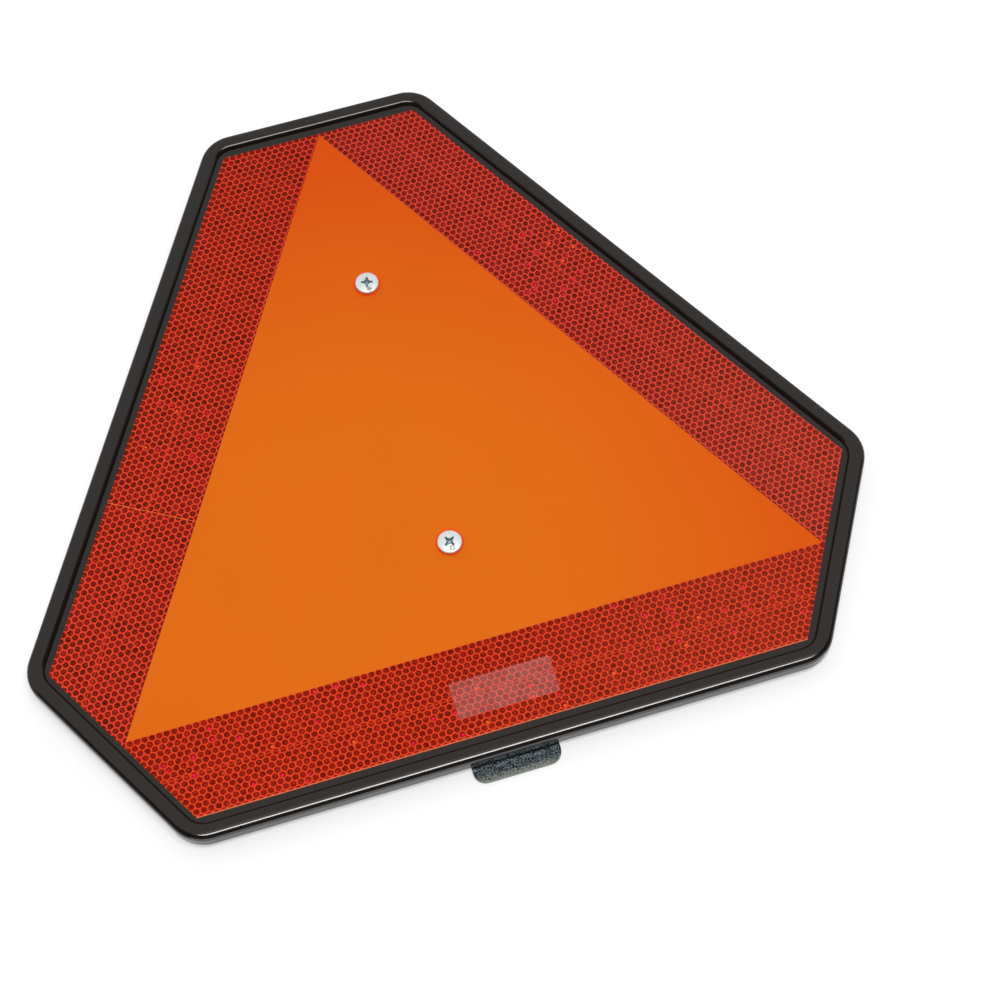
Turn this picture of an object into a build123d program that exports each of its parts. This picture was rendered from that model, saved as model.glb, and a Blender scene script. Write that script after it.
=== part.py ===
from build123d import *
import os
from math import acos, cos, degrees, radians, sin, sqrt, tan

# Slow moving vehicle sign with its spade blade, in millimetres.
# The face looks up +Z and the top of the triangle points along +Y. The origin is at the tip of the
# spade blade, in the middle of the back face that bears on the bracket.

# The three tips of the triangle, as directions from its middle
top_angle = 90.0
left_angle = 210.0
right_angle = 330.0

# The emblem: an orange triangle with a red border, both measured from the middle of the triangle.
# The border was laid by hand, so it passes each tip by a different amount.
triangle_height = 310.0
border_width = 46.8
top_gap = 0.5
left_gap = 2.4
right_gap = 1.4
joint_gap = 0.1
triangle_thickness = 0.3
border_thickness = 0.5
centre_height = 170.4

# The clear label, placed from the middle of the bottom strip
label_width = 51.6
label_height = 19.0
label_corner_radius = 1.0
label_thickness = 0.1
label_lift = 0.02
label_to_right = 4.0
label_to_bottom = 3.25

# The black panel: one sheet, formed with a raised rim and a skirt that hides its hollow back
sheet = 2.5
film_margin = 3.1
panel_tip_gap = 1.6
rim_width = 8.9
rim_height = 2.2
shoulder_radius = 3.0
outer_corner_radius = 19.0
skirt_drop = 6.5
skirt_draft = 1.0

# The spade blade: a steel strap, joggled so that its lower end stands clear of the skirt
blade_width = 44.45
blade_thickness = 2.7
blade_offset = 7.2
joggle_angle = 45.0
bend_radius = 3.0
blade_corner_radius = 6.3
blade_end_margin = 13.0
joggle_to_washer = 24.8

# Screws through the panel and the blade, by their distance from the middle of the triangle
upper_screw_rise = 107.3
lower_screw_drop = 49.0
hole_radius = 3.4
shank_radius = 3.15
screw_length = 12.6
point_chamfer = 0.5
head_radius = 6.25
head_height = 3.1
head_round = 1.7
recess_span = 6.8
recess_width = 1.3
recess_depth = 2.4
recess_floor_span = 3.8
recess_core_radius = 1.7
upper_recess_angle = -14.0
lower_recess_angle = 32.0

# Split lock washers and hexagon nuts behind the blade
washer_radius = 6.2
washer_bore_radius = 3.3
washer_thickness = 1.6
washer_split = 0.8
nut_across_flats = 11.1
nut_thickness = 5.4
nut_chamfer_angle = 30.0
thread_clearance = 0.05

# Levels along Z and distances worked out from the sizes above
blade_seat_z = blade_thickness + blade_offset
face_z = blade_seat_z + sheet
washer_seat_z = blade_seat_z - blade_thickness
nut_seat_z = washer_seat_z - washer_thickness
triangle_reach = triangle_height / 3
tip_reach = 2 * triangle_height / 3
border_reach = triangle_reach + border_width
foot_reach = border_reach + film_margin
foot_tip_reach = tip_reach + panel_tip_gap + film_margin
foot_corner_radius = outer_corner_radius - rim_width
upper_screw_y = centre_height + upper_screw_rise
lower_screw_y = centre_height - lower_screw_drop
blade_length = upper_screw_y + blade_end_margin
recess_angles = {upper_screw_y: upper_recess_angle, lower_screw_y: lower_recess_angle}
screw_places = list(recess_angles)
tip_gaps = {top_angle: top_gap, left_angle: left_gap, right_angle: right_gap}
tips = list(tip_gaps)


def emblem_plane(z):
    """Level plane with its origin over the middle of the triangle."""
    return Plane(origin=(0, centre_height, z))


def screw_plane(y, z, angle=0.0):
    """Upright plane through a screw's axis, with its second direction up the screw."""
    along, across = cos(radians(angle)), sin(radians(angle))
    return Plane(origin=(0, y, z), x_dir=(along, across, 0), z_dir=(across, -along, 0))


def on_tip_line(tip, reach, aside=0.0):
    """Point at a distance from the middle towards a tip, and at another to the left of that line."""
    point = Vector(reach, aside).rotate(Axis.Z, tip)
    return point.X, point.Y


def outline_corner(tip, side, long_reach, tip_end_reach):
    """Corner of a cut-off triangle, on one side (-1 or 1) of the short edge that faces a tip."""
    half_edge = (2 * long_reach - tip_end_reach) * tan(radians(30))
    return on_tip_line(tip, tip_end_reach, side * half_edge)


# Panel: the rim's section is one skin line with the sheet's thickness, swept round half the panel
foot_y = centre_height - foot_reach
shoulder_centre = sqrt(shoulder_radius**2 - (shoulder_radius - rim_height) ** 2)
shoulder_sweep = degrees(acos((shoulder_radius - rim_height) / shoulder_radius))
shoulder_z = rim_height - shoulder_radius
skirt_flare = (skirt_drop + shoulder_z) * tan(radians(skirt_draft))

with BuildPart() as panel:
    with BuildSketch(emblem_plane(blade_seat_z)) as floor_outline:
        foot_corners = [
            outline_corner(tip, side, foot_reach, foot_tip_reach) for tip in tips for side in (-1, 1)
        ]
        Polygon(*foot_corners, align=None)
        fillet(floor_outline.vertices(), foot_corner_radius)
    extrude(amount=sheet)
    with BuildLine(emblem_plane(face_z)) as half_rim_path:
        FilletPolyline(
            (0, -foot_reach),
            outline_corner(right_angle, -1, foot_reach, foot_tip_reach),
            outline_corner(right_angle, 1, foot_reach, foot_tip_reach),
            outline_corner(top_angle, -1, foot_reach, foot_tip_reach),
            (0, foot_tip_reach),
            radius=foot_corner_radius,
        )
    section_plane = Plane(origin=(0, foot_y, face_z), x_dir=(0, -1, 0), z_dir=(-1, 0, 0))
    with BuildSketch(section_plane) as rim_section:
        with BuildLine():
            Line((-sheet, 0), (0, 0))
            inner_shoulder = CenterArc(
                (shoulder_centre, shoulder_z), shoulder_radius, 90 + shoulder_sweep, -shoulder_sweep
            )
            crown_end = (rim_width - shoulder_radius, rim_height)
            Line(inner_shoulder @ 1, crown_end)
            outer_shoulder = RadiusArc(crown_end, (rim_width, shoulder_z), shoulder_radius)
            Line(outer_shoulder @ 1, (rim_width + skirt_flare, -skirt_drop))
            offset(amount=sheet, side=Side.RIGHT)
        make_face()
    sweep(path=half_rim_path.wire())
    mirror(about=Plane.YZ)
    with Locations((0, upper_screw_y, face_z), (0, lower_screw_y, face_z)):
        Hole(hole_radius)
panel.part.label = "panel"

# Orange triangle, with a hole for each screw
with BuildPart() as orange_triangle:
    with BuildSketch(emblem_plane(face_z)):
        Polygon(*[on_tip_line(tip, tip_reach) for tip in tips], align=None)
        offset(amount=-joint_gap / 2, kind=Kind.INTERSECTION)
        with Locations((0, upper_screw_rise), (0, -lower_screw_drop)):
            Circle(hole_radius, mode=Mode.SUBTRACT)
    extrude(amount=triangle_thickness)
orange_triangle.part.label = "orange_triangle"

# Red strips, each from one tip to the next one round, with mitres on the tips' lines
strip_tips = {
    "left": (top_angle, left_angle),
    "bottom": (left_angle, right_angle),
    "right": (right_angle, top_angle),
}
red_strips = []
for side_name, (first, last) in strip_tips.items():
    first_end = tip_reach + tip_gaps[first]
    last_end = tip_reach + tip_gaps[last]
    with BuildPart() as red_strip:
        with BuildSketch(emblem_plane(face_z)):
            Polygon(
                on_tip_line(first, tip_reach),
                on_tip_line(first, first_end),
                outline_corner(first, 1, border_reach, first_end),
                outline_corner(last, -1, border_reach, last_end),
                on_tip_line(last, last_end),
                on_tip_line(last, tip_reach),
                align=None,
            )
            offset(amount=-joint_gap / 2, kind=Kind.INTERSECTION)
        extrude(amount=border_thickness)
    red_strip.part.label = "red_strip_" + side_name
    red_strips.append(red_strip)

# Clear label, on the bottom strip
label_drop = triangle_reach + border_width / 2 + label_to_bottom
with BuildPart() as clear_label:
    with BuildSketch(emblem_plane(face_z + border_thickness + label_lift)):
        with Locations((label_to_right, -label_drop)):
            RectangleRounded(label_width, label_height, label_corner_radius)
    extrude(amount=label_thickness)
clear_label.part.label = "clear_label"

# Spade blade: its side view is one bent line with the sheet's thickness
joggle_run = blade_offset / tan(radians(joggle_angle))
upper_bend_reach = bend_radius * tan(radians(joggle_angle) / 2)
joggle_end_y = lower_screw_y - washer_radius - joggle_to_washer - upper_bend_reach
joggle_start_y = joggle_end_y - joggle_run
with BuildPart() as spade_blade:
    with BuildSketch(Plane.YZ) as side_view:
        with BuildLine():
            FilletPolyline(
                (0, 0),
                (joggle_start_y, 0),
                (joggle_end_y, blade_offset),
                (blade_length, blade_offset),
                radius=(bend_radius + blade_thickness, bend_radius),
            )
            offset(amount=blade_thickness, side=Side.LEFT)
        make_face()
    extrude(amount=blade_width / 2, both=True)
    fillet(spade_blade.edges().filter_by(Axis.Z), blade_corner_radius)
    with Locations((0, upper_screw_y, blade_seat_z), (0, lower_screw_y, blade_seat_z)):
        Hole(hole_radius)
spade_blade.part.label = "spade_blade"

# Pan-head screws with a cross recess
head_seat_z = face_z + triangle_thickness
head_top_z = head_seat_z + head_height
with BuildPart() as mounting_screws:
    for screw_y in screw_places:
        with BuildSketch(screw_plane(screw_y, head_seat_z)) as half_profile:
            Polygon(
                (0, -screw_length),
                (shank_radius - point_chamfer, -screw_length),
                (shank_radius, point_chamfer - screw_length),
                (shank_radius, 0),
                (head_radius, 0),
                (head_radius, head_height),
                (0, head_height),
                align=None,
            )
            fillet(half_profile.vertices().group_by(Axis.X)[-1].sort_by(Axis.Y)[-1], head_round)
        revolve(axis=Axis((0, screw_y, head_seat_z), (0, 0, 1)))
    for screw_y, recess_angle in recess_angles.items():
        for wing_angle in (recess_angle, recess_angle + 90):
            with BuildSketch(screw_plane(screw_y, head_top_z, wing_angle)):
                Polygon(
                    (-recess_span / 2, 0),
                    (-recess_floor_span / 2, -recess_depth),
                    (recess_floor_span / 2, -recess_depth),
                    (recess_span / 2, 0),
                    align=None,
                )
            extrude(amount=recess_width / 2, both=True, mode=Mode.SUBTRACT)
        with Locations((0, screw_y, head_top_z)):
            Cone(
                recess_floor_span / 4,
                recess_core_radius,
                recess_depth,
                align=(Align.CENTER, Align.CENTER, Align.MAX),
                mode=Mode.SUBTRACT,
            )
mounting_screws.part.label = "mounting_screws"

# Split lock washers, pressed flat
with BuildPart() as lock_washers:
    with BuildSketch(Plane.XY.offset(nut_seat_z)):
        with Locations(*[(0, screw_y) for screw_y in screw_places]):
            Circle(washer_radius)
            Circle(washer_bore_radius, mode=Mode.SUBTRACT)
            Rectangle(washer_radius, washer_split, align=(Align.MIN, Align.CENTER), mode=Mode.SUBTRACT)
    extrude(amount=washer_thickness)
lock_washers.part.label = "lock_washers"

# Hexagon nuts, with both ends of their corners chamfered
nut_corner_radius = nut_across_flats / sqrt(3)
nut_land_radius = nut_across_flats / 2
chamfer_depth = (nut_corner_radius - nut_land_radius) * tan(radians(nut_chamfer_angle))
with BuildPart() as hex_nuts:
    with BuildSketch(Plane.XY.offset(nut_seat_z - nut_thickness)):
        with Locations(*[(0, screw_y) for screw_y in screw_places]):
            RegularPolygon(nut_corner_radius, 6)
            Circle(shank_radius + thread_clearance, mode=Mode.SUBTRACT)
    extrude(amount=nut_thickness)
    for screw_y in screw_places:
        for end_z, inward in ((nut_seat_z, -1), (nut_seat_z - nut_thickness, 1)):
            with BuildSketch(screw_plane(screw_y, end_z)):
                Polygon(
                    (nut_land_radius, 0),
                    (nut_corner_radius, 0),
                    (nut_corner_radius, inward * chamfer_depth),
                    align=None,
                )
            revolve(axis=Axis((0, screw_y, end_z), (0, 0, 1)), mode=Mode.SUBTRACT)
hex_nuts.part.label = "hex_nuts"

os.makedirs("parts", exist_ok=True)
pieces = [panel, orange_triangle, *red_strips, clear_label, spade_blade, mounting_screws, lock_washers, hex_nuts]
for piece in pieces:
    export_step(piece.part, "parts/" + piece.part.label + ".step")
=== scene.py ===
import math

import bmesh
import bpy
from mathutils import Matrix, Vector


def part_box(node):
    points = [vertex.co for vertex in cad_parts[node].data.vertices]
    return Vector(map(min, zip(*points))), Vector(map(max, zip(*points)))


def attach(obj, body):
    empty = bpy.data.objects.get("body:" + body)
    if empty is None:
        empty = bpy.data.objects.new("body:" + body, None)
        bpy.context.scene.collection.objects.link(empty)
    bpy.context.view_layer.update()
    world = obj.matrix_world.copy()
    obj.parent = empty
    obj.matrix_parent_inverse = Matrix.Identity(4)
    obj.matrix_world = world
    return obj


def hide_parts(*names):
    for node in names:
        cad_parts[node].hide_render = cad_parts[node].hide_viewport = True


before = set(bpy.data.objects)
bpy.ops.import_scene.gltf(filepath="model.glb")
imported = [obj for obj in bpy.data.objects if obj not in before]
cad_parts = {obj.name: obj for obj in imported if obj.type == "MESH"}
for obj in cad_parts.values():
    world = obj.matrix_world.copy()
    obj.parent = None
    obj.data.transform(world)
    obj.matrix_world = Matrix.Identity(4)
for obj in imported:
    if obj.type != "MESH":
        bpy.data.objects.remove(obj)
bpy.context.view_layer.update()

# Sizes in millimetres, taken from the CAD nodes where they give them
MM = 0.001
CENTRE = Vector((0.0, 170.4))
HEAD_RADIUS = 6.25
screw_low, screw_high = (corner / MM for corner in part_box("mounting_screws"))
nut_low, nut_high = (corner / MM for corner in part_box("hex_nuts"))
washer_low, washer_high = (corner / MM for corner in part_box("lock_washers"))
SCREW_YS = (screw_low.y + HEAD_RADIUS, screw_high.y - HEAD_RADIUS)
HEAD_TOP = screw_high.z
SCREW_END = screw_low.z
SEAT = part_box("orange_triangle")[1].z / MM
FILM_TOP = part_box("red_strip_bottom")[1].z / MM
STRIP_REACH = CENTRE.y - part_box("red_strip_bottom")[0].y / MM
PANEL_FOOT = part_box("panel")[0].y / MM
NUT_END = nut_low.z
NUT_SEAT = nut_high.z
WASHER_SEAT = washer_high.z


# Shader maths

class Signal:
    """One output of a shader node. Arithmetic on it adds Math nodes to its finish."""

    def __init__(self, finish, socket):
        self.finish = finish
        self.socket = socket

    def maths(self, operation, *values):
        return self.finish.node("ShaderNodeMath", {"operation": operation}, dict(enumerate(values)))

    def __add__(self, other):
        return self.maths("ADD", self, other)

    def __radd__(self, other):
        return self.maths("ADD", other, self)

    def __sub__(self, other):
        return self.maths("SUBTRACT", self, other)

    def __rsub__(self, other):
        return self.maths("SUBTRACT", other, self)

    def __mul__(self, other):
        return self.maths("MULTIPLY", self, other)

    def __rmul__(self, other):
        return self.maths("MULTIPLY", other, self)

    def __truediv__(self, other):
        return self.maths("DIVIDE", self, other)

    def __gt__(self, other):
        return self.maths("GREATER_THAN", self, other)

    def __lt__(self, other):
        return self.maths("LESS_THAN", self, other)

    def __abs__(self):
        return self.maths("ABSOLUTE", self)

    def floor(self):
        return self.maths("FLOOR", self)

    def root(self):
        return self.maths("SQRT", self)

    def largest(self, other):
        return self.maths("MAXIMUM", self, other)

    def smallest(self, other):
        return self.maths("MINIMUM", self, other)

    def wave(self):
        return self.maths("COSINE", self)

    def step(self, low, high, start=0.0, end=1.0):
        """Goes smoothly from start to end while the signal goes from low to high."""
        return self.finish.node(
            "ShaderNodeMapRange",
            {"interpolation_type": "SMOOTHSTEP"},
            {"Value": self, "From Min": low, "From Max": high, "To Min": start, "To Max": end},
        )


def linear(red, green, blue):
    """The colour of an 8-bit screen value, as a shader takes it."""
    parts = []
    for part in (red, green, blue):
        share = part / 255.0
        parts.append(share / 12.92 if share <= 0.04045 else ((share + 0.055) / 1.055) ** 2.4)
    return (*parts, 1.0)


class Graph:
    """A tree of shader nodes."""

    def __init__(self, tree):
        self.tree = tree

    def node(self, kind, settings, sockets, output=0):
        """Adds a node: its settings first, then the values and links of its sockets."""
        made = self.tree.nodes.new(kind)
        for setting, value in settings.items():
            setattr(made, setting, value)
        for name, value in sockets.items():
            if isinstance(value, Signal):
                self.tree.links.new(value.socket, made.inputs[name])
            else:
                made.inputs[name].default_value = value
        return Signal(self, made.outputs[output])

    def vector(self, operation, sockets, output=0):
        return self.node("ShaderNodeVectorMath", {"operation": operation}, sockets, output)

    def mix(self, factor, first, second, blend="MIX"):
        settings = {"data_type": "RGBA", "blend_type": blend}
        return self.node("ShaderNodeMix", settings, {0: factor, 6: first, 7: second}, 2)

    def grey(self, shade):
        return self.node("ShaderNodeCombineColor", {}, {"Red": shade, "Green": shade, "Blue": shade})


class Finish(Graph):
    """A material made of nodes, with its coordinates in millimetres in the sign's own frame."""

    def __init__(self, name, **constants):
        self.material = bpy.data.materials.new(name)
        self.material.use_nodes = True
        super().__init__(self.material.node_tree)
        self.shader = self.tree.nodes["Principled BSDF"]
        for socket, value in constants.items():
            self.shader.inputs[socket.replace("_", " ")].default_value = value
        metres = self.node("ShaderNodeTexCoord", {}, {}, "Object")
        self.place = self.vector("SCALE", {0: metres, "Scale": 1.0 / MM})

    def along(self, direction, origin=(0.0, 0.0, 0.0)):
        """How far a point lies from the origin along a direction, in millimetres."""
        offset = self.vector("SUBTRACT", {0: self.place, 1: origin})
        return self.vector("DOT_PRODUCT", {0: offset, 1: direction}, "Value")

    def distance_to(self, point):
        """How far a point lies from a place, in millimetres."""
        return self.vector("DISTANCE", {0: self.place, 1: point}, "Value")

    def noise(self, size, detail=2.0, roughness=0.5):
        """Soft noise about 0.5, with grains of the given size in millimetres."""
        sockets = {"Vector": self.place, "Scale": 1.0 / size, "Detail": detail, "Roughness": roughness}
        return self.node("ShaderNodeTexNoise", {}, sockets)

    def specks(self, spacing):
        """Distance to the nearest of many scattered points, as a share of their spacing in millimetres."""
        return self.node("ShaderNodeTexVoronoi", {}, {"Vector": self.place, "Scale": 1.0 / spacing})

    def bump(self, height, distance):
        """Normals of a relief that is as deep as the distance in millimetres."""
        return self.node("ShaderNodeBump", {}, {"Distance": distance * MM, "Height": height})

    def feed(self, **signals):
        """Links signals to the shader's inputs, and gives the material back."""
        for socket, signal in signals.items():
            self.tree.links.new(signal.socket, self.shader.inputs[socket.replace("_", " ")])
        return self.material


# Finishes

GLOSS_START = PANEL_FOOT + 3.0
GLOSS_END = PANEL_FOOT + 4.5


def moulded_plastic():
    """Black plastic with a fine grain that holds a little dust, and a gloss along its lowest edge."""
    finish = Finish("moulded_black_plastic", Specular_IOR_Level=0.5, Specular_Tint=(1.0, 0.94, 0.9, 1.0))
    grain = finish.noise(0.5, 3.0, 0.6)
    cloud = finish.noise(30.0, 3.0)
    specks = finish.specks(6.5).step(0.0, 0.045, 1.0, 0.0) * finish.noise(15.0).step(0.5, 0.62)
    base = finish.mix(grain.step(0.3, 0.75), linear(14, 11, 9), linear(22, 18, 15))
    colour = finish.mix(specks * 0.4, base, linear(130, 122, 112))
    rough = cloud.step(0.3, 0.7, 0.13, 0.16) + grain.step(0.3, 0.7, -0.015, 0.015) + specks * 0.3
    normal = finish.bump(grain, 0.006)
    lowest = finish.along((0.0, 1.0, 0.0)).step(GLOSS_START, GLOSS_END, 1.0, 0.0)
    shoulder = finish.along((0.0, 0.0, 1.0)).step(SEAT - 0.6, SEAT + 0.2)
    return finish.feed(Base_Color=colour, Roughness=rough, Normal=normal, Coat_Weight=lowest * shoulder)


BRIGHT_PLACE = (-50.0, 110.0, SEAT)
SHADE_SHIFT = (0.14, 0.5)
SHADE_START = HEAD_RADIUS + 0.7
SHADE_END = HEAD_RADIUS + 1.35


def fluorescent_film():
    """Orange film of the triangle, redder away from its bright place, with painted shade in a deeper red
    ring round each head.
    """
    finish = Finish("fluorescent_orange_film", Specular_IOR_Level=0.05)
    grain = finish.noise(0.7, 4.0, 0.7)
    cloud = finish.noise(60.0, 2.0)
    away = finish.distance_to(BRIGHT_PLACE).step(80.0, 300.0)
    base = finish.mix(away, linear(226, 109, 19), linear(221, 79, 12))
    shade = grain.step(0.25, 0.75, 0.965, 1.035) * cloud.step(0.3, 0.7, 0.99, 1.01)
    colour = finish.mix(1.0, base, finish.grey(shade), "MULTIPLY")
    for y in SCREW_YS:
        middle = (SHADE_SHIFT[0], y + SHADE_SHIFT[1], SEAT)
        # Painted shade: a deeper red ring round each screw head, set a little below its middle.
        ring = finish.distance_to(middle).step(SHADE_START, SHADE_END, 0.85, 0.0)
        colour = finish.mix(ring, colour, linear(240, 64, 14))
    rough = cloud.step(0.3, 0.7, 0.16, 0.22)
    normal = finish.bump(grain, 0.006)
    return finish.feed(Base_Color=colour, Roughness=rough, Normal=normal)


ROOT_THREE = math.sqrt(3.0)
STRIP_MIDDLE = 127.0
COLUMN = 12.87
SECOND_DRAW = (31.0, 17.0, 0.0)
DASH_OFFSET = 0.75
TOWARDS_HAZE = (0.8, -0.6, 0.0)
TOWARDS_DARKER = (0.9, 0.44, 0.0)


def nearest_cell(u, v):
    """A point's offsets from the middle of its six-sided cell, and its distance from there, in pitches."""
    near_u = u - (u + 0.5).floor()
    near_v = v - (v + 0.5).floor()
    far_u = u - 0.5 - u.floor()
    far_v = v - 0.5 - v.floor()
    near = near_u * near_u + near_v * near_v * 3.0
    far = far_u * far_u + far_v * far_v * 3.0
    first = near < far
    x = first * near_u + (1.0 - first) * far_u
    y = (first * near_v + (1.0 - first) * far_v) * ROOT_THREE
    return x, y, near.smallest(far).root()


def cell_draws(finish, u, v, x, y):
    """Two random numbers for each cell."""
    cell = finish.node("ShaderNodeCombineXYZ", {}, {"X": (u - x) * 2.0, "Y": v - y / ROOT_THREE})
    other = finish.vector("ADD", {0: cell, 1: SECOND_DRAW})
    settings = {"noise_dimensions": "2D"}
    return [finish.node("ShaderNodeTexWhiteNoise", settings, {"Vector": place}) for place in (cell, other)]


def cell_inside(finish, chance, column, reach, edge, tones):
    """Colour inside the cells: purple or brown, mottled, with a ring of its own near the walls."""
    brown = (chance + column * 0.4).step(0.0, 1.1)
    inside = finish.mix(brown, tones["purple"], tones["brown"])
    mottle = finish.noise(0.9, 2.0).step(0.42, 0.7, 0.0, 0.35)
    inside = finish.mix(mottle, inside, tones["slanted"])
    ring = reach.step(0.1, edge - 0.04) * 0.5
    return finish.mix(ring, inside, tones["ring"])


def strip_marks(finish, colour, s, d, strip):
    """The weld along a strip, the cut across it and its pale outer edge, where the strip has them."""
    tones = strip["tones"]
    weld = abs(d - strip["seam"]).step(0.1, 0.5, 0.5, 0.0)
    colour = finish.mix(weld, colour, tones["slanted"])
    if "cut" in strip:
        beside = abs(s - strip["cut"])
        colour = finish.mix(beside.step(0.12, 0.3, 0.8, 0.0), colour, tones["cut"])
        if "dashes" in tones:
            rows = abs(beside - DASH_OFFSET).step(0.12, 0.4, 0.8, 0.0)
            dashes = rows * finish.noise(1.1, 2.0).step(0.5, 0.56)
            colour = finish.mix(dashes, colour, tones["dashes"])
    if "edge" in tones:
        pale = d.step(STRIP_REACH - 0.9, STRIP_REACH - 0.3, 0.0, 0.7)
        colour = finish.mix(pale, colour, tones["edge"])
    return colour


def painted_cell_glints(finish, colour, s, x, y, draws, column, strip):
    """Painted glints: small bright spots in a few cells, between the darker columns of one stretch of a
    strip.
    """
    middle, spread, share = strip["sparks"]
    chance, luck = draws
    window = abs(s - middle).step(spread * 0.6, spread, share, 0.0)
    across = x - (chance - 0.5) * 0.4
    along = y - (luck - 0.85) * 1.6
    spot = (across * across + along * along).root().step(0.12, 0.3, 1.0, 0.0)
    chosen = (luck + window - 1.0).step(0.0, 0.08) * (column < -0.7)
    lit = chosen * spot * chance.step(0.0, 0.5, 0.55, 1.0)
    # Painted glints in pink or orange, standing in for light caught by single prism cells.
    spark = finish.mix(chance > 0.72, strip["tones"]["glint"], linear(255, 96, 40))
    return finish.mix(lit, colour, spark)


def strip_tints(finish, colour):
    """A whitish haze growing towards one side of the sign, paler cut faces of the film, and a slight
    darkening towards the right of the sign.
    """
    haze = finish.along(TOWARDS_HAZE, (*CENTRE, 0.0)).step(40.0, 180.0, 0.003, 0.026)
    colour = finish.mix(haze, colour, linear(255, 176, 130))
    side = finish.along((0.0, 0.0, 1.0)) < FILM_TOP - 0.04
    colour = finish.mix(side, colour, linear(196, 120, 92))
    # Slightly darker towards the right of the sign.
    darker_share = finish.along(TOWARDS_DARKER, (*CENTRE, 0.0)).step(-180.0, 120.0)
    return finish.mix(darker_share, colour, linear(247, 246, 250), "MULTIPLY")


def prism_film(name, strip):
    """Red reflective film of small six-sided prism cells, laid along one edge of the triangle.

    s runs along the strip and d outwards, in millimetres from the triangle's centre."""
    finish = Finish(name, Specular_IOR_Level=0.05)
    tones = strip["tones"]
    pitch = strip["pitch"]
    angle = math.radians(strip["angle"])
    s = finish.along((-math.sin(angle), math.cos(angle), 0.0), (*CENTRE, 0.0))
    d = finish.along((math.cos(angle), math.sin(angle), 0.0), (*CENTRE, 0.0))
    u = (s + (d - STRIP_MIDDLE) * strip["lean"] - strip["start"]) / pitch
    v = (d + s * strip["drift"] - strip["first_row"]) / (2.0 * strip["row"])
    x, y, distance = nearest_cell(u, v)
    upright = abs(x)
    slanted = abs(x) * 0.5 + abs(y) * 0.866
    reach = upright.largest(slanted) * 0.84 + distance * 0.15
    reach = reach + finish.noise(1.6, 1.0).step(0.2, 0.8, -0.03, 0.03)
    edge = 0.5 - strip["wall_width"] / pitch / 2.0
    wall = reach.step(edge - 0.06, 0.475)
    draws = cell_draws(finish, u, v, x, y)
    cell_s = (u - x) * pitch + strip["start"]
    column = ((cell_s - strip["columns"]) / COLUMN * math.tau).wave()
    inside = cell_inside(finish, draws[0], column, reach, edge, tones)
    lines = finish.mix((upright > slanted) * 0.7, tones["slanted"], tones["upright"])
    colour = finish.mix(wall, inside, lines)
    colour = strip_marks(finish, colour, s, d, strip)
    colour = painted_cell_glints(finish, colour, s, x, y, draws, column, strip)
    colour = strip_tints(finish, colour)
    rough = wall.step(0.0, 1.0, 0.12, 0.18)
    return finish.feed(Base_Color=colour, Roughness=rough, Normal=finish.bump(wall, 0.004))


def label_film():
    """Thin milky film of the blank label. Light crosses it four times, so each crossing is faint."""
    finish = Finish("milky_label_film", Specular_IOR_Level=0.2)
    cloud = finish.noise(5.0, 3.0)
    colour = finish.mix(cloud.step(0.3, 0.7), linear(230, 164, 158), linear(244, 176, 172))
    rough = cloud.step(0.3, 0.7, 0.2, 0.3)
    return finish.feed(Base_Color=colour, Roughness=rough, Alpha=cloud.step(0.3, 0.7, 0.085, 0.11))


def speckled_blade():
    """Blade steel with a dark, speckled skin, paler along its sheared edge."""
    finish = Finish("speckled_blade_steel", Metallic=1.0)
    speck = finish.noise(0.8, 3.0, 0.7)
    tone = speck.step(0.45, 0.57)
    colour = finish.mix(tone, linear(13, 16, 19), linear(78, 86, 91))
    grains = finish.noise(0.5, 2.0).step(0.58, 0.64)
    colour = finish.mix(grains * 0.8, colour, linear(128, 136, 138))
    tip = finish.along((0.0, 1.0, 0.0)).step(0.2, 4.0, 0.55, 0.0)
    colour = finish.mix(tip * speck.step(0.3, 0.6, 0.4, 1.0), colour, linear(140, 144, 132))
    rough = speck.step(0.3, 0.7, 0.26, 0.38)
    return finish.feed(Base_Color=colour, Roughness=rough, Normal=finish.bump(speck, 0.012))


SLIP_PLACE = (0.4, -4.1, 0.0)
RECESS_REACH = 3.3
HEAD_WALL = 4.5


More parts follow.
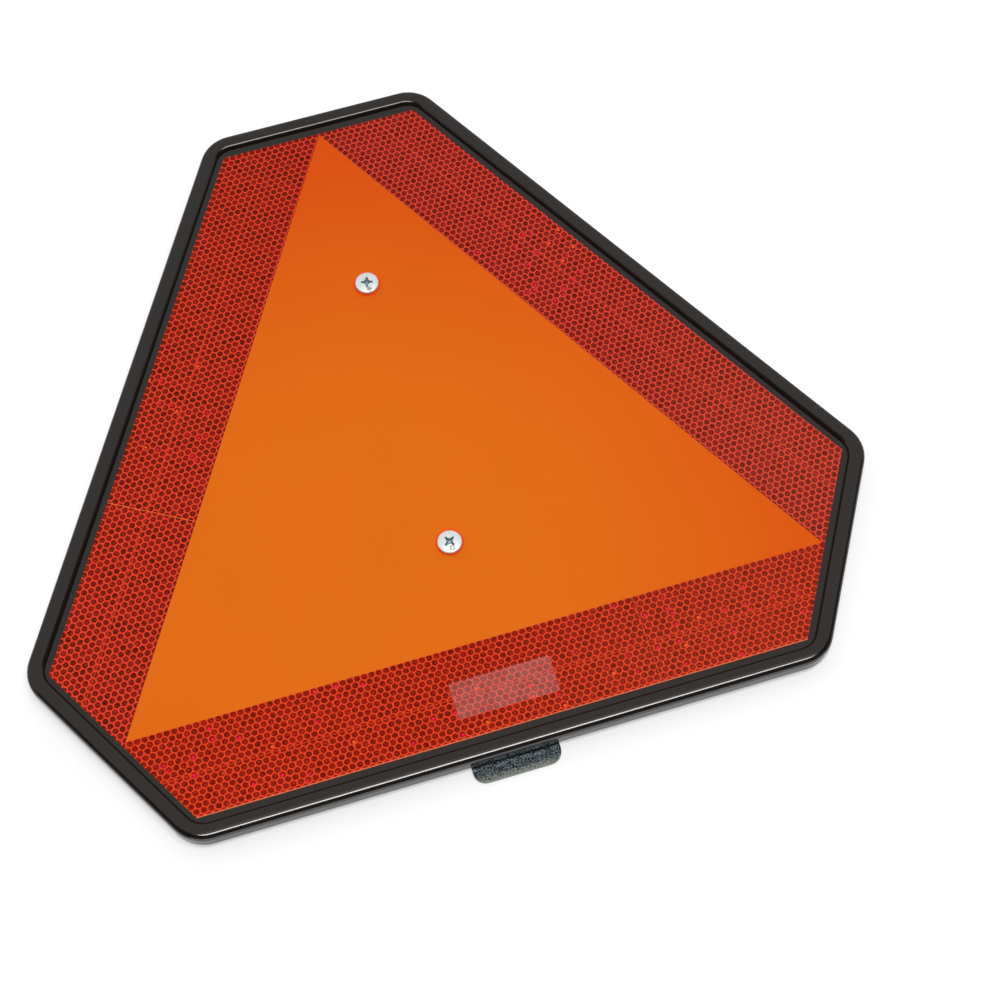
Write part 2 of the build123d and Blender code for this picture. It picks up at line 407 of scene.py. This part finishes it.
def bright_zinc():
    """Zinc plate of the fasteners: pale, painted darker and bluer as shade in the cross recess and on the
    shanks below it, tinted by a painted reflection of the orange film on the sides of the heads, nuts and
    washers, and scuffed beside the recess by a driver.
    """
    finish = Finish("bright_zinc_plate", Metallic=0.5)
    cloud = finish.noise(1.1, 3.0)
    colour = finish.mix(cloud.step(0.3, 0.7), linear(214, 224, 224), linear(232, 236, 234))
    level = finish.along((0.0, 0.0, 1.0), (0.0, 0.0, HEAD_TOP))
    depth = level.step(-1.3, -0.25, 1.0, 0.0)
    below = level.step(-1.5, -1.0, 1.0, 0.0)
    marks = 0.0
    for y in SCREW_YS:
        offset = finish.vector("SUBTRACT", {0: finish.place, 1: (0.0, y, HEAD_TOP)})
        flat = finish.vector("MULTIPLY", {0: offset, 1: (1.0, 1.0, 0.0)})
        radius = finish.vector("LENGTH", {0: flat}, "Value")
        # Painted shade: darker and bluer in the cross recess and on the shanks below it.
        painted_recess_shade = radius.step(RECESS_REACH, RECESS_REACH + 0.3, 1.0, 0.0) * depth
        colour = finish.mix(painted_recess_shade * 0.85, colour, linear(108, 132, 154))
        # Painted reflection of the orange film: a warm tint on the side of each head, which also falls on
        # the nuts and washers at the same radius.
        wall = radius.step(HEAD_WALL, HEAD_WALL + 0.5) * (radius < HEAD_RADIUS + 0.75) * below
        colour = finish.mix(wall * 0.7, colour, linear(250, 140, 104))
        slip = finish.vector("DISTANCE", {0: flat, 1: SLIP_PLACE}, "Value")
        marks = slip.step(0.9, 2.2, 1.0, 0.0).largest(marks)
    scuffs = marks * finish.noise(0.9, 2.0, 0.6).step(0.42, 0.52)
    colour = finish.mix(scuffs * 0.85, colour, linear(104, 98, 84))
    rough = cloud.step(0.3, 0.7, 0.42, 0.5) - below * 0.2
    return finish.feed(Base_Color=colour, Roughness=rough, Normal=finish.bump(cloud, 0.006))


def paint(node, material):
    """Gives a CAD node its finish."""
    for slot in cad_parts[node].material_slots:
        slot.material = material


# The red strips. The angle is the way outwards from the triangle's centre. Pitch and row are the spacing of
# the cells along and across the strip, and start, first_row, lean and drift seat them. Columns is where the
# darker columns begin, seam and cut are the weld along the strip and the cut across it, and sparks are the
# middle, the half width and the share of the stretch that has painted glints.
strips = {
    "right": {
        "angle": 30.0,
        "pitch": 3.634,
        "start": 0.338,
        "lean": -0.0179,
        "row": 3.043,
        "first_row": 105.306,
        "drift": 0.0037,
        "wall_width": 0.8,
        "columns": 7.2,
        "seam": 130.2,
        "sparks": (35.0, 40.0, 0.3),
        "tones": {
            "purple": linear(128, 24, 21),
            "brown": linear(92, 18, 2),
            "ring": linear(100, 18, 2),
            "slanted": linear(236, 71, 54),
            "upright": linear(234, 70, 43),
            "glint": linear(255, 22, 76),
        },
    },
    "left": {
        "angle": 150.0,
        "pitch": 3.6533,
        "start": 1.4166,
        "lean": -0.0114,
        "row": 3.0878,
        "first_row": 105.913,
        "drift": -0.0037,
        "wall_width": 0.75,
        "columns": 6.3,
        "seam": 128.4,
        "cut": 59.7,
        "sparks": (-5.0, 42.0, 0.22),
        "tones": {
            "purple": linear(130, 19, 14),
            "brown": linear(82, 14, 1),
            "ring": linear(94, 14, 1),
            "slanted": linear(238, 67, 42),
            "upright": linear(242, 70, 36),
            "glint": linear(244, 24, 56),
            "cut": linear(240, 110, 50),
        },
    },
    "bottom": {
        "angle": 270.0,
        "pitch": 3.6653,
        "start": 1.14,
        "lean": -0.0221,
        "row": 3.016,
        "first_row": 107.862,
        "drift": 0.0001,
        "wall_width": 0.62,
        "columns": -41.0,
        "seam": 128.7,
        "cut": 78.4,
        "sparks": (0.0, 240.0, 0.16),
        "tones": {
            "purple": linear(138, 17, 7),
            "brown": linear(106, 10, 0),
            "ring": linear(118, 12, 0),
            "slanted": linear(240, 68, 33),
            "upright": linear(242, 74, 39),
            "glint": linear(255, 16, 78),
            "cut": linear(226, 66, 34),
            "dashes": linear(78, 14, 14),
            "edge": linear(250, 128, 84),
        },
    },
}

paint("panel", moulded_plastic())
paint("orange_triangle", fluorescent_film())
for place, strip in strips.items():
    paint("red_strip_" + place, prism_film("red_prism_film_" + place, strip))
paint("clear_label", label_film())
paint("spade_blade", speckled_blade())


# Fasteners

def lathe(profile, steps=72):
    """Turns a profile of (radius, height) points round the Z axis."""
    shape = bmesh.new()
    points = [shape.verts.new((radius, 0.0, height)) for radius, height in profile]
    edges = [shape.edges.new(pair) for pair in zip(points, points[1:])]
    bmesh.ops.spin(
        shape,
        geom=points + edges,
        cent=(0.0, 0.0, 0.0),
        axis=(0.0, 0.0, 1.0),
        angle=math.tau,
        steps=steps,
        use_merge=True,
    )
    bmesh.ops.remove_doubles(shape, verts=shape.verts, dist=0.001)
    bmesh.ops.recalc_face_normals(shape, faces=shape.faces)
    return shape


def soften(shape, edges, amount, segments):
    bmesh.ops.bevel(
        shape,
        geom=edges,
        offset=amount,
        offset_type="OFFSET",
        segments=segments,
        profile=0.5,
        affect="EDGES",
        material=-1,
    )


def loose_object(name, shape):
    mesh = bpy.data.meshes.new(name)
    shape.to_mesh(mesh)
    shape.free()
    made = bpy.data.objects.new(name, mesh)
    bpy.context.collection.objects.link(made)
    return made


def cut(name, shape, tools, operation):
    """Cuts a shape with others by boolean modifiers, and gives the result back as a shape."""
    body = loose_object(name, shape)
    others = [loose_object(name + "_tool", tool) for tool in tools]
    for other in others:
        modifier = body.modifiers.new("cut", "BOOLEAN")
        modifier.operation = operation
        modifier.solver = "EXACT"
        modifier.object = other
    view = bpy.context.evaluated_depsgraph_get()
    mesh = bpy.data.meshes.new_from_object(body.evaluated_get(view))
    result = bmesh.new()
    result.from_mesh(mesh)
    for made in [body, *others]:
        bpy.data.objects.remove(made)
    return result


def fit_on(name, shape, place, turn, material, node):
    """Puts a shape drawn in millimetres in its place on the sign, where it stands for a CAD node."""
    seat = Matrix.Translation(Vector(place) * MM) @ Matrix.Rotation(math.radians(turn), 4, "Z")
    bmesh.ops.transform(shape, matrix=seat @ Matrix.Scale(MM, 4), verts=shape.verts)
    piece = loose_object(name, shape)
    piece.data.shade_smooth()
    piece.data.set_sharp_from_angle(angle=math.radians(35.0))
    piece.data.materials.append(material)
    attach(piece, "root")
    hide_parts(node)


HEAD_ROUND = 0.45
HEAD_FALL = 0.8
CROWN_RADIUS = 3.0
CROWN_ROUND = 2.2
SEAT_BREAK = 0.12
RECESS_SPAN = 6.8
RECESS_WIDTH = 1.3
RECESS_DEPTH = 2.3
WING_FLOOR = (0.56, 0.75, 1.0)
WING_MOUTH = (1.44, 1.25, 1.0)
WING_ROUND = 0.3
CORE_MOUTH = 2.2
CORE_FLOOR = 0.9
CORE_TIP = 0.4
SHANK = 3.13
PLAIN_SHANK = 3.0
RUN_OUT = 0.5
POINT_BREAK = 0.3
THREAD_PITCH = 1.27
THREAD_DEPTH = 0.5
THREAD_ROOT = SHANK - THREAD_DEPTH
THREAD_CREST = 0.06
THREAD_STEPS = 32
LOWER_TURN = 32.0
UPPER_TURN = -14.0


def recess_tools(height):
    """What cuts the cross recess: two tapered wings with rounded edges, and a cone between them."""
    tools = []
    for turn in (0.0, 90.0):
        wing = bmesh.new()
        bmesh.ops.create_cube(wing, size=1.0)
        bmesh.ops.scale(wing, vec=(RECESS_SPAN, RECESS_WIDTH, 2.0 * RECESS_DEPTH), verts=wing.verts)
        low = [v for v in wing.verts if v.co.z < 0.0]
        high = [v for v in wing.verts if v.co.z > 0.0]
        bmesh.ops.scale(wing, vec=WING_FLOOR, verts=low)
        bmesh.ops.scale(wing, vec=WING_MOUTH, verts=high)
        upright = [e for e in wing.edges if abs(e.verts[0].co.z - e.verts[1].co.z) > 0.1]
        soften(wing, upright, WING_ROUND, 3)
        spot = Matrix.Translation((0.0, 0.0, height)) @ Matrix.Rotation(math.radians(turn), 4, "Z")
        bmesh.ops.transform(wing, matrix=spot, verts=wing.verts)
        tools.append(wing)
    core = lathe([
        (0.0, height + 1.0),
        (CORE_MOUTH, height + 1.0),
        (CORE_FLOOR, height - RECESS_DEPTH),
        (0.0, height - RECESS_DEPTH - CORE_TIP),
    ], 32)
    return [*tools, core]


def thread_mesh(length):
    """The ridge of a thread as one closed coil, up from the point of a shank that hangs below its seat."""
    ridge = bmesh.new()
    inner = THREAD_ROOT - 0.05
    half = THREAD_PITCH * 0.45
    section = ((inner, -half), (SHANK, -THREAD_CREST), (SHANK, THREAD_CREST), (inner, half))
    points = [ridge.verts.new((radius, 0.0, height)) for radius, height in section]
    edges = [ridge.edges.new(pair) for pair in zip(points, points[1:])]
    turns = int((length - PLAIN_SHANK - 1.0) / THREAD_PITCH)
    bmesh.ops.translate(ridge, vec=(0.0, 0.0, half - length + 0.15), verts=ridge.verts)
    end = bmesh.ops.spin(
        ridge,
        geom=points + edges,
        cent=(0.0, 0.0, 0.0),
        axis=(0.0, 0.0, 1.0),
        dvec=(0.0, 0.0, THREAD_PITCH / THREAD_STEPS),
        angle=math.tau * turns,
        steps=THREAD_STEPS * turns,
    )["geom_last"]
    for ring in (points, [v for v in end if isinstance(v, bmesh.types.BMVert)]):
        bmesh.ops.contextual_create(ridge, geom=ring)
    bmesh.ops.recalc_face_normals(ridge, faces=ridge.faces)
    mesh = bpy.data.meshes.new("thread")
    ridge.to_mesh(mesh)
    ridge.free()
    return mesh


def screw_shape():
    """Pan-head screw about its seat: head upwards, thread downwards."""
    height = HEAD_TOP - SEAT
    length = SEAT - SCREW_END
    shape = lathe([
        (0.0, height),
        (CROWN_RADIUS, height),
        (HEAD_RADIUS, height - HEAD_FALL),
        (HEAD_RADIUS, SEAT_BREAK),
        (HEAD_RADIUS - SEAT_BREAK, 0.0),
        (SHANK, 0.0),
        (SHANK, -PLAIN_SHANK),
        (THREAD_ROOT, -PLAIN_SHANK - RUN_OUT),
        (THREAD_ROOT, POINT_BREAK - length),
        (THREAD_ROOT - POINT_BREAK, -length),
        (0.0, -length),
    ])
    for radius, level, amount, segments in (
        (CROWN_RADIUS, height, CROWN_ROUND, 8),
        (HEAD_RADIUS, height - HEAD_FALL, HEAD_ROUND, 6),
    ):
        ring = [
            edge for edge in shape.edges
            if all(abs(v.co.z - level) < 0.01 and abs(v.co.xy.length - radius) < 0.01 for v in edge.verts)
        ]
        soften(shape, ring, amount, segments)
    shape = cut("pan_screw", shape, recess_tools(height), "DIFFERENCE")
    shape.from_mesh(thread_mesh(length))
    return shape


NUT_FLATS = 11.1
NUT_CHAMFER = math.radians(30.0)
NUT_BORE = 3.2
SINK_DEPTH = 0.45
SINK_MOUTH = 4.0


def nut_shape():
    """Hexagon nut about its seat, which it hangs below, with a countersunk bore."""
    half = (NUT_SEAT - NUT_END) / 2.0
    corner = NUT_FLATS / math.sqrt(3.0)
    prism = bmesh.new()
    bmesh.ops.create_cone(prism, cap_ends=True, segments=6, radius1=corner, radius2=corner, depth=2.0 * half)
    beyond = corner + 1.0
    fall = (beyond - NUT_FLATS / 2.0) * math.tan(NUT_CHAMFER)
    body = lathe([
        (0.0, half),
        (NUT_FLATS / 2.0, half),
        (beyond, half - fall),
        (beyond, fall - half),
        (NUT_FLATS / 2.0, -half),
        (0.0, -half),
    ])
    bore = lathe([
        (0.0, 2.0 * half),
        (SINK_MOUTH + half, 2.0 * half),
        (NUT_BORE, half - SINK_DEPTH),
        (NUT_BORE, SINK_DEPTH - half),
        (SINK_MOUTH + half, -2.0 * half),
        (0.0, -2.0 * half),
    ], 48)
    first = next(iter(prism.verts))
    turn = -math.atan2(first.co.y, first.co.x)
    bmesh.ops.rotate(prism, matrix=Matrix.Rotation(turn, 3, "Z"), verts=prism.verts)
    chamfered = cut("hex_nut", prism, [body], "INTERSECT")
    shape = cut("hex_nut", chamfered, [bore], "DIFFERENCE")
    bmesh.ops.translate(shape, vec=(0.0, 0.0, -half), verts=shape.verts)
    return shape


WASHER_RADIUS = 6.2
WASHER_BORE = 3.3
SPLIT_LEAN = 0.55
SPLIT_HALF = math.radians(5.5)
WASHER_BREAK = 0.12


def washer_shape():
    """Split washer about its seat. Its cut leans, as a coiled wire's does."""
    thick = WASHER_SEAT - NUT_SEAT
    shape = bmesh.new()
    corners = (
        (WASHER_BORE, -SPLIT_LEAN, -thick),
        (WASHER_RADIUS, -SPLIT_LEAN, -thick),
        (WASHER_RADIUS, SPLIT_LEAN, 0.0),
        (WASHER_BORE, SPLIT_LEAN, 0.0),
    )
    start = shape.faces.new([shape.verts.new(corner) for corner in corners])
    bmesh.ops.rotate(shape, matrix=Matrix.Rotation(SPLIT_HALF, 3, "Z"), verts=shape.verts)
    bmesh.ops.spin(
        shape,
        geom=[start, *start.edges, *start.verts],
        cent=(0.0, 0.0, 0.0),
        axis=(0.0, 0.0, 1.0),
        angle=math.tau - 2.0 * SPLIT_HALF,
        steps=60,
    )
    bmesh.ops.recalc_face_normals(shape, faces=shape.faces)
    rims = [e for e in shape.edges if len(e.link_faces) == 2 and e.calc_face_angle() > 0.8]
    soften(shape, rims, WASHER_BREAK, 2)
    return shape


def fasteners():
    zinc = bright_zinc()
    kinds = (
        ("pan_screw", screw_shape(), SEAT, "mounting_screws"),
        ("hex_nut", nut_shape(), NUT_SEAT, "hex_nuts"),
        ("lock_washer", washer_shape(), WASHER_SEAT, "lock_washers"),
    )
    for end, y, recess_turn in (("lower", SCREW_YS[0], LOWER_TURN), ("upper", SCREW_YS[1], UPPER_TURN)):
        for kind, shape, seat, node in kinds:
            turn = recess_turn if kind == "pan_screw" else 0.0
            fit_on(kind + "_" + end, shape.copy(), (0.0, y, seat), turn, zinc, node)
    for kind in kinds:
        kind[1].free()


fasteners()


# Studio

FLOOR_REACH = 6.0
FLOOR_GLOW = 0.44


def studio_floor():
    """A white table that glows a little where the camera sees it or its reflection."""
    sheet = bmesh.new()
    bmesh.ops.create_grid(sheet, x_segments=1, y_segments=1, size=FLOOR_REACH)
    mesh = bpy.data.meshes.new("studio_floor")
    sheet.to_mesh(mesh)
    sheet.free()
    floor = bpy.data.objects.new("studio_floor", mesh)
    bpy.context.collection.objects.link(floor)
    finish = Finish(
        "white_table",
        Roughness=0.6,
        Base_Color=linear(205, 205, 205),
        Specular_IOR_Level=0.1,
        Emission_Strength=1.0,
    )
    seen = finish.node("ShaderNodeLightPath", {}, {}, "Is Camera Ray")
    for ray in ("Is Glossy Ray", "Is Transmission Ray"):
        seen = seen.largest(finish.node("ShaderNodeLightPath", {}, {}, ray))
    glow = finish.mix(seen, (0.0, 0.0, 0.0, 1.0), (FLOOR_GLOW, FLOOR_GLOW, FLOOR_GLOW, 1.0))
    floor.data.materials.append(finish.feed(Emission_Color=glow))


LAMP_PLACE = Vector((0.1, -0.42, 3.0))
LAMP_AIM = Vector((0.0, 0.18, 0.0))
LAMP_SIZE = (2.2, 0.95)
LAMP_POWER = 58.0


def overhead_softbox():
    lamp = bpy.data.lights.new("overhead_softbox", "AREA")
    lamp.shape = "ELLIPSE"
    lamp.size, lamp.size_y = LAMP_SIZE
    lamp.energy = LAMP_POWER
    stand = bpy.data.objects.new("overhead_softbox", lamp)
    turn = (LAMP_PLACE - LAMP_AIM).normalized().to_track_quat("Z", "Y").to_matrix().to_4x4()
    stand.matrix_world = Matrix.Translation(LAMP_PLACE) @ turn
    bpy.context.collection.objects.link(stand)


TENT_DARK = (0.1, 0.1, 0.1, 1.0)
TENT_LIGHT = (0.8, 0.8, 0.8, 1.0)


def studio_room():
    """A white tent round the sign, open and dark on the camera's side, and pale where the camera sees it."""
    room = bpy.data.worlds.new("studio_room")
    room.use_nodes = True
    graph = Graph(room.node_tree)
    facing = graph.node("ShaderNodeTexCoord", {}, {}, "Generated")
    depth = graph.vector("DOT_PRODUCT", {0: facing, 1: (0.0, 1.0, 0.0)}, "Value")
    height = graph.vector("DOT_PRODUCT", {0: facing, 1: (0.0, 0.0, 1.0)}, "Value")
    tent = depth.step(-0.08, 0.12) * height.step(0.05, 0.45)
    seen = graph.node("ShaderNodeLightPath", {}, {}, "Is Camera Ray")
    light = graph.mix(tent.largest(seen), TENT_DARK, TENT_LIGHT)
    room.node_tree.links.new(light.socket, room.node_tree.nodes["Background"].inputs["Color"])
    bpy.context.scene.world = room


CAMERA_PLACE = (-0.0898, -0.2811, 0.9786)
CAMERA_RIGHT = Vector((0.9568, -0.2906, -0.0060))
CAMERA_BACK = Vector((-0.1141, -0.3945, 0.9118))
FOCAL_LENGTH = 75.23


def studio_camera():
    """The camera of the photograph, solved from the straight edges of the sign."""
    lens = bpy.data.cameras.new("studio_camera")
    lens.sensor_width = 36.0
    lens.lens = FOCAL_LENGTH
    camera = bpy.data.objects.new("studio_camera", lens)
    back = CAMERA_BACK.normalized()
    up = back.cross(CAMERA_RIGHT).normalized()
    turn = Matrix((up.cross(back), up, back)).transposed().to_4x4()
    camera.matrix_world = Matrix.Translation(CAMERA_PLACE) @ turn
    bpy.context.collection.objects.link(camera)
    bpy.context.scene.camera = camera


studio_floor()
overhead_softbox()
studio_camera()
studio_room()
bpy.context.scene.view_settings.view_transform = "Standard"
